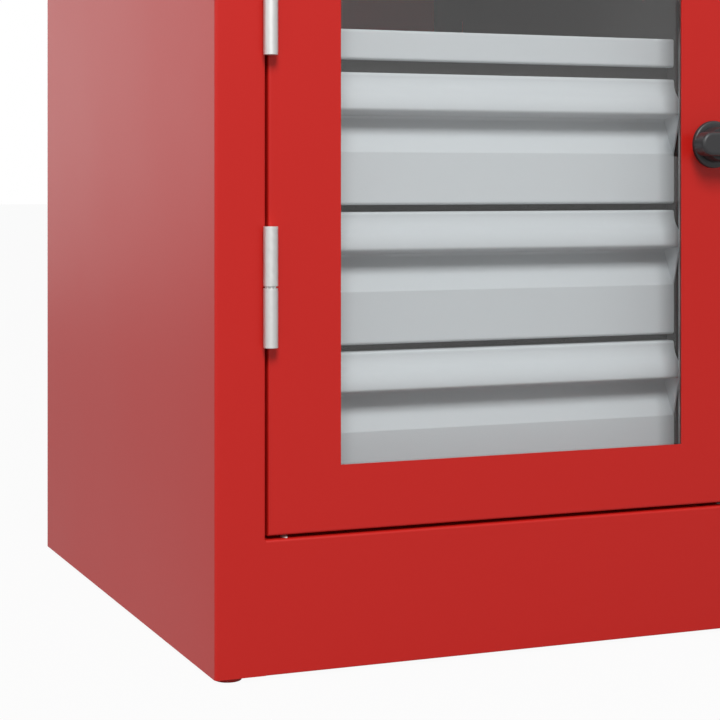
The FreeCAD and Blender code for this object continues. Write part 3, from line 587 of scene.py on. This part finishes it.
def makeRosette():
    k = lock
    r, t = k["rosetteRadius"], k["rosetteDepth"]
    profile = [(0, 0), (r, 0)] + [(r - inwards, t - back) for inwards, back in k["rosetteEdge"]] + [(0, t)]
    bm = bmesh.new()
    turned(bm, profile, at(rods["x"], 0, k["z"]), forwards, k["rosetteSteps"])
    finishPiece("rosette", bm, "black_plastic", "door", ["lock_rosette"], angle=50)


def makeTurnHandle():
    # Round hub with a flat wing across it
    k = lock
    base = k["rosetteDepth"] + k["gap"]
    front = base + k["hubDepth"]
    r, e = k["hubRadius"], k["hubEdge"]
    profile = [(0, base), (r - e, base), (r, base + e), (r - k["hubTaper"], front), (0, front)]
    bm = bmesh.new()
    addTurned(bm, profile, at(rods["x"], 0, k["z"]), forwards, k["hubSteps"])
    ends = k["wingWidth"] / 2
    half = k["wingLength"] / 2 - ends
    outline = []
    for side in (1, -1):
        for step in range(k["endSteps"] + 1):
            angle = math.pi * (step / k["endSteps"] - 0.5)
            outline.append((side * (half + ends * math.cos(angle)), side * ends * math.sin(angle)))
    corners = [at(rods["x"] + x, -front, k["z"] + z) for x, z in outline]
    wing = bmesh.new()
    makePlate(wing, corners, (0, -k["wingDepth"] / 1000, 0))
    topFace = min(wing.faces, key=lambda face: face.calc_center_median().y)
    roundEdges(wing, topFace.edges[:], k["wingRound"])
    addShape(bm, wing)
    finishPiece("turnHandle", bm, "black_plastic", "handle", ["door_handle"], angle=40)


def makeKeyCylinder():
    k = lock
    front = k["rosetteDepth"] + k["gap"] + k["hubDepth"] + k["wingDepth"]
    back = front - k["cylinderLength"]
    r = k["cylinderRadius"]
    inwards, down = k["cylinderEdge"]
    profile = [(0, back), (r, back), (r, front - down), (r - inwards, front), (0, front)]
    bm = bmesh.new()
    turned(bm, profile, at(rods["x"], 0, k["z"]), forwards, k["cylinderSteps"])
    finishPiece("keyCylinder", bm, "cylinder_steel", "key_cylinder", ["lock_cylinder"])


makeRosette()
makeTurnHandle()
makeKeyCylinder()
print("lock made")

shelf = {"left": 79.0, "right": 461.0, "top": 533.5, "edge": 26.0, "face": 62.0, "lip": 8.0, "rim": 20.0,
         "rear": 593.0, "rimGap": 4.0}


def makeShelf():
    s = shelf
    left, right, top, face, rear = s["left"], s["right"], s["top"], s["face"], s["rear"]
    sheet = cabinet["sheet"]
    path = [(face + s["lip"], top - s["edge"]), (face, top - s["edge"]), (face, top), (rear, top),
            (rear, top - s["rim"])]
    bm = bmesh.new()
    foldAlong(bm, path, [cabinet["fold"]] * 3, "yz", left, right, (face, top - s["edge"] - aside))
    thicken(bm, sheet)
    for x in (left, right - sheet):
        addBlock(bm, at(x, face + s["lip"], top - s["rim"]), at(x + sheet, rear - s["rimGap"], top - sheet))
    finishPiece("shelfSheet", bm, "light_grey_paint", "carcass", ["shelf"])


makeShelf()

# edge is the height of the grip's lower edge under the drawer's top, recess how deep the finger space goes
drawer = {"left": 79.0, "right": 461.0, "face": 61.5, "height": 114.0, "reach": 12.0, "turn": 9.0,
          "tops": {"top": 496.5, "middle": 376.5, "bottom": 256.5}, "foot": 22.0, "edge": 33.2,
          "recess": 16.0, "recessTop": 36.6, "crease": 68.5, "flange": 12.0, "sheet": 1.2,
          "folds": (2.8, 15.0, 19.0, 2.8, 2.8, 2.0, 2.8), "foldSteps": 8, "rib": 1.2, "ribGap": 1.0}


def makeDrawerFronts():
    d = drawer
    y, grip = d["face"], d["face"] - d["reach"]
    for name, z in d["tops"].items():
        edge = (grip, z - d["edge"])
        recess = (y + d["recess"], z - d["recessTop"])
        crease = (y, z - d["crease"])
        path = [(y + d["flange"], z), (y, z), (y, z - d["turn"]), (grip, z - d["foot"]), edge, recess, crease,
                (y, z - d["height"]), (y + d["flange"], z - d["height"])]
        outward = (y + d["flange"], z + aside)
        bm = bmesh.new()
        foldAlong(bm, path, d["folds"], "yz", d["left"], d["right"], outward, d["foldSteps"])
        thicken(bm, d["sheet"])
        rib = [(edge[0] + d["ribGap"], edge[1]), recess, crease]
        for x in (d["left"], d["right"] - d["rib"]):
            part = bmesh.new()
            makePlate(part, [at(x, v, w) for v, w in rib], (d["rib"] / 1000, 0, 0))
            addShape(bm, part)
        finishPiece(name + "RollFront", bm, "light_grey_paint", name + "_drawer", [name + "_drawer_front"])


makeDrawerFronts()
print("drawers made")

# Lamp places and sizes are in metres around the cabinet; strengths of 1 are white
studio = {"world": 0.33, "white": 1.0, "floor": 0.42, "floorRough": 0.9, "floorSize": 30.0,
          "floorGlow": 0.95, "floorMirrored": 0.42}
lamps = {
    "key": {"power": 127.0, "place": (-1.0, -3.0, 2.9), "size": 1.3, "target": (0, -0.2, 0.4)},
    "fill": {"power": 22.0, "place": (-2.9, 0.1, 1.8), "size": 2.0, "target": (0, 0, 0.4)},
    "rear": {"power": 2.6, "place": (-0.9, 2.9, 0.75), "size": 1.3, "target": (-0.27, 0.2, 0.5)},
}


def seenDirectly(tree, mirrored):
    # For rays that show the backdrop: straight, mirrored or through glass
    rays = tree.nodes.new("ShaderNodeLightPath").outputs
    partly = combine(tree, "MULTIPLY", rays["Is Glossy Ray"], mirrored)
    straight = combine(tree, "MAXIMUM", rays["Is Camera Ray"], partly)
    return combine(tree, "MAXIMUM", straight, rays["Is Transmission Ray"])


def makeFloor():
    bm = bmesh.new()
    bmesh.ops.create_grid(bm, x_segments=1, y_segments=1, size=studio["floorSize"])
    mesh = bpy.data.meshes.new("floor")
    bm.to_mesh(mesh)
    bm.free()
    material = bpy.data.materials.new("floorWhite")
    material.use_nodes = True
    tree = material.node_tree
    shader = tree.nodes["Principled BSDF"]
    shader.inputs["Base Color"].default_value = (studio["floor"],) * 3 + (1,)
    shader.inputs["Roughness"].default_value = studio["floorRough"]
    shader.inputs["Specular IOR Level"].default_value = 0.0
    glow = tree.nodes.new("ShaderNodeEmission")
    glow.inputs["Strength"].default_value = studio["white"]
    share = combine(tree, "MULTIPLY", seenDirectly(tree, studio["floorMirrored"]), studio["floorGlow"])
    mixShaders(tree, share, shader.outputs[0], glow.outputs[0], "Material Output")
    mesh.materials.append(material)
    floor = bpy.data.objects.new("floor", mesh)
    bpy.context.scene.collection.objects.link(floor)


def makeWorld():
    world = bpy.data.worlds.new("studio")
    bpy.context.scene.world = world
    world.use_nodes = True
    tree = world.node_tree
    lit = tree.nodes["Background"]
    lit.inputs["Color"].default_value = (1, 1, 1, 1)
    lit.inputs["Strength"].default_value = studio["world"]
    white = tree.nodes.new("ShaderNodeBackground")
    white.inputs["Color"].default_value = (1, 1, 1, 1)
    white.inputs["Strength"].default_value = studio["white"]
    mixShaders(tree, seenDirectly(tree, 1.0), lit.outputs[0], white.outputs[0], "World Output")


def softLight(name, look):
    lamp = bpy.data.lights.new(name, "AREA")
    lamp.energy = look["power"]
    lamp.size = look["size"]
    holder = bpy.data.objects.new(name, lamp)
    holder.location = look["place"]
    aim = Vector(look["target"]) - Vector(look["place"])
    holder.rotation_euler = aim.to_track_quat("-Z", "Y").to_euler()
    # Else the lamp shows as a white square behind the pane of an open door
    holder.visible_transmission = False
    bpy.context.scene.collection.objects.link(holder)


makeFloor()
makeWorld()
for lampName, lampLook in lamps.items():
    softLight(lampName, lampLook)

view = {"place": (-0.7294, -1.7176, 0.4036), "heading": (0.3743, 0.9273, 0.0), "lens": 94.0, "sensor": 36.0,
        "shiftX": 0.0097, "shiftY": -0.2493, "nearest": 0.05}


def makeCamera():
    lens = bpy.data.cameras.new("camera")
    lens.lens = view["lens"]
    lens.sensor_width = view["sensor"]
    lens.shift_x = view["shiftX"]
    lens.shift_y = view["shiftY"]
    lens.clip_start = view["nearest"]
    holder = bpy.data.objects.new("camera", lens)
    holder.location = view["place"]
    holder.rotation_euler = Vector(view["heading"]).to_track_quat("-Z", "Y").to_euler()
    bpy.context.scene.collection.objects.link(holder)
    bpy.context.scene.camera = holder


makeCamera()
bpy.context.scene.view_settings.view_transform = "Standard"
print("studio ready")
